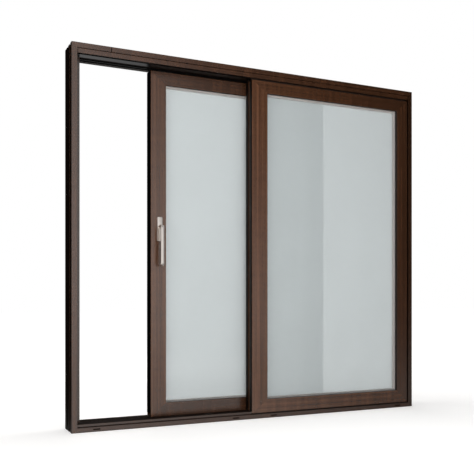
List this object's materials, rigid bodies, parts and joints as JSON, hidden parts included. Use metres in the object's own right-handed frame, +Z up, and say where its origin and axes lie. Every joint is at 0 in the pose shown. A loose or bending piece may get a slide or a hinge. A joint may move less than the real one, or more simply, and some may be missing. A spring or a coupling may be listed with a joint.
{
  "type": "aluminium lift-and-slide terrace door",
  "caption": "Wide glazed terrace door in dark wood decor: a fixed sash beside a sliding one that a lever lifts onto rollers and that runs behind it on a rear track.",
  "frame": {"origin": "middle of the sill's underside, halfway through the frame's depth", "axes": "+X to the right seen from the room side with the lever, +Y from that side through the door, +Z up"},
  "size_m": [2.375, 0.175, 2.2],
  "materials": {
    "walnut_decor": "dark walnut wood-grain decor baked on aluminium extrusions, satin",
    "dark_anodised": "anodised in dark bronze, satin",
    "satin_silver": "satin silver anodised",
    "zinc_plated_steel": "zinc plated, dull",
    "glass": "double glazing, pale grey, glossy",
    "glass_spacer": "light grey spacer bar, matt",
    "gasket_rubber": "black glazing gasket, matt",
    "insulating_bars": "glass-filled polyamide, matt black",
    "black_plastic": "moulded, matt black",
    "brush_seal": "dark pile brush strip"
  },
  "bodies": {
    "frame": {"jamb_left_front": "walnut_decor", "jamb_right_front": "walnut_decor", "jambs_middle": "walnut_decor", "jambs_rear": "walnut_decor", "head_front": "walnut_decor", "head_middle": "walnut_decor", "head_rear": "walnut_decor", "sill_front": "walnut_decor", "sill_middle": "walnut_decor", "sill_rear": "walnut_decor", "frame_breaks": "insulating_bars", "rear_trims": "walnut_decor", "guide_channel": "walnut_decor", "track_rail": "dark_anodised", "sill_cover": "walnut_decor", "head_cover": "walnut_decor", "fixed_packing": "dark_anodised", "fixed_meeting_stile": "walnut_decor", "fixed_outer_stile": "walnut_decor", "fixed_top_rail": "walnut_decor", "fixed_bottom_rail": "walnut_decor", "fixed_breaks": "insulating_bars", "fixed_glass": "glass", "fixed_spacer": "glass_spacer", "fixed_gaskets": "gasket_rubber", "fixed_beads": "walnut_decor", "fixed_hook": "walnut_decor", "brush_seals": "brush_seal", "track_stop": "black_plastic"},
    "carriages": {"carriage_left": "zinc_plated_steel", "carriage_right": "zinc_plated_steel"},
    "sliding_sash": {"lock_stile": "walnut_decor", "sliding_meeting_stile": "walnut_decor", "sliding_top_rail": "walnut_decor", "sliding_bottom_rail": "walnut_decor", "sliding_breaks": "insulating_bars", "sliding_glass": "glass", "sliding_spacer": "glass_spacer", "sliding_gaskets": "gasket_rubber", "sliding_beads": "walnut_decor", "sliding_hook": "walnut_decor", "guide_blocks": "black_plastic", "handle_plate": "satin_silver", "flush_pull": "satin_silver"},
    "handle": {"handle_lever": "satin_silver"}
  },
  "joints": [
    {"name": "sash_slide", "type": "slide", "parent": "frame", "child": "carriages", "axis": [1, 0, 0], "range_m": [-0.467, 0.53]},
    {"name": "sash_lift", "type": "slide", "parent": "carriages", "child": "sliding_sash", "axis": [0, 0, 1], "range_m": [-0.007, 0]},
    {"name": "handle_turn", "type": "hinge", "parent": "sliding_sash", "child": "handle", "pos_m": [-0.637, -0.0005, 1.191], "axis": [0, -1, 0], "range_deg": [0, 180]}
  ],
  "couplings": [
    {"joint": "handle_turn", "follows": "sash_lift", "rad_per_m": -448.8}
  ]
}
